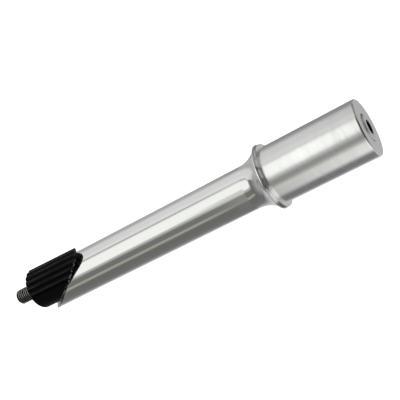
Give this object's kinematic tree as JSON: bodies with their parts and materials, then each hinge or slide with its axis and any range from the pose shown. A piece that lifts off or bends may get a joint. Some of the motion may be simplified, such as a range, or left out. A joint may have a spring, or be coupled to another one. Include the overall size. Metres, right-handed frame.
{
  "type": "quill stem adaptor",
  "caption": "Bicycle quill stem adaptor: a slanted-end quill with a collar and a threadless clamp section, drawn tight by a long socket bolt and a ribbed wedge.",
  "frame": {"origin": "on the quill's axis at the underside of the collar, where the adaptor meets the top nut of the steerer's headset", "axes": "+Z along the quill's axis towards the clamp section, +X the way the wedge moves out when the bolt is tightened"},
  "size_m": [0.0332, 0.0332, 0.2091],
  "materials": {
    "body_aluminium": "mirror polished quill and collar, fine turned clamp section",
    "bolt_steel": "black oxide",
    "washer_steel": "plain zinc",
    "wedge_black": "satin black coating"
  },
  "bodies": {
    "adaptor": {"adaptor_body": "body_aluminium"},
    "bolt_seat": {"head_washer": "washer_steel"},
    "bolt": {"expander_bolt": "bolt_steel"},
    "wedge": {"expander_wedge": "wedge_black"}
  },
  "joints": [
    {"name": "bolt_swing", "type": "hinge", "parent": "adaptor", "child": "bolt_seat", "pos_m": [0, 0, 0.0422], "axis": [0, -1, 0], "range_deg": [-1.21, 0.24]},
    {"name": "bolt_turn", "type": "hinge", "parent": "bolt_seat", "child": "bolt", "pos_m": [0, 0, 0.0422], "axis": [0.0218, 0, -0.9998], "range_deg": [-1440, 288]},
    {"name": "wedge_draw", "type": "slide", "parent": "bolt_seat", "child": "wedge", "axis": [-0.0218, 0, 0.9998], "range_m": [-0.005, 0.001]}
  ],
  "couplings": [
    {"joint": "bolt_turn", "follows": "wedge_draw", "rad_per_m": 5026.5},
    {"joint": "bolt_swing", "follows": "wedge_draw", "rad_per_m": 4.2339}
  ]
}
